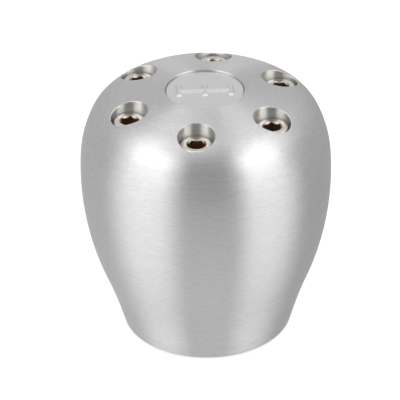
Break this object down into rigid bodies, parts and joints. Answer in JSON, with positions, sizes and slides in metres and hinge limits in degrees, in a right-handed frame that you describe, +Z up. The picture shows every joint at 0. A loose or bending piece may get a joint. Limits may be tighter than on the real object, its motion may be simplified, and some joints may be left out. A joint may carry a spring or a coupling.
{
  "type": "gear shift knob",
  "caption": "Bulb-shaped turned aluminium gear shift knob with socket head screws sunk round its crown, a round badge between them and a threaded lever insert in its base.",
  "frame": {"origin": "centre of the flat ring that the knob stands on, at the foot of the turning axis", "axes": "+Z up along the turning axis from the base to the crown, and -Y towards the first screw"},
  "size_m": [0.054, 0.054, 0.0571],
  "materials": {
    "body": "turned and brushed round the axis, satin, with bright bored screw seats",
    "badge": "smooth matte",
    "screws": "bright polished",
    "insert": "machined"
  },
  "bodies": {
    "root": {"knob_body": "body", "badge": "badge", "thread_insert": "insert", "cap_screw_1": "screws", "cap_screw_2": "screws", "cap_screw_3": "screws", "cap_screw_4": "screws", "cap_screw_5": "screws", "cap_screw_6": "screws"}
  },
  "joints": []
}
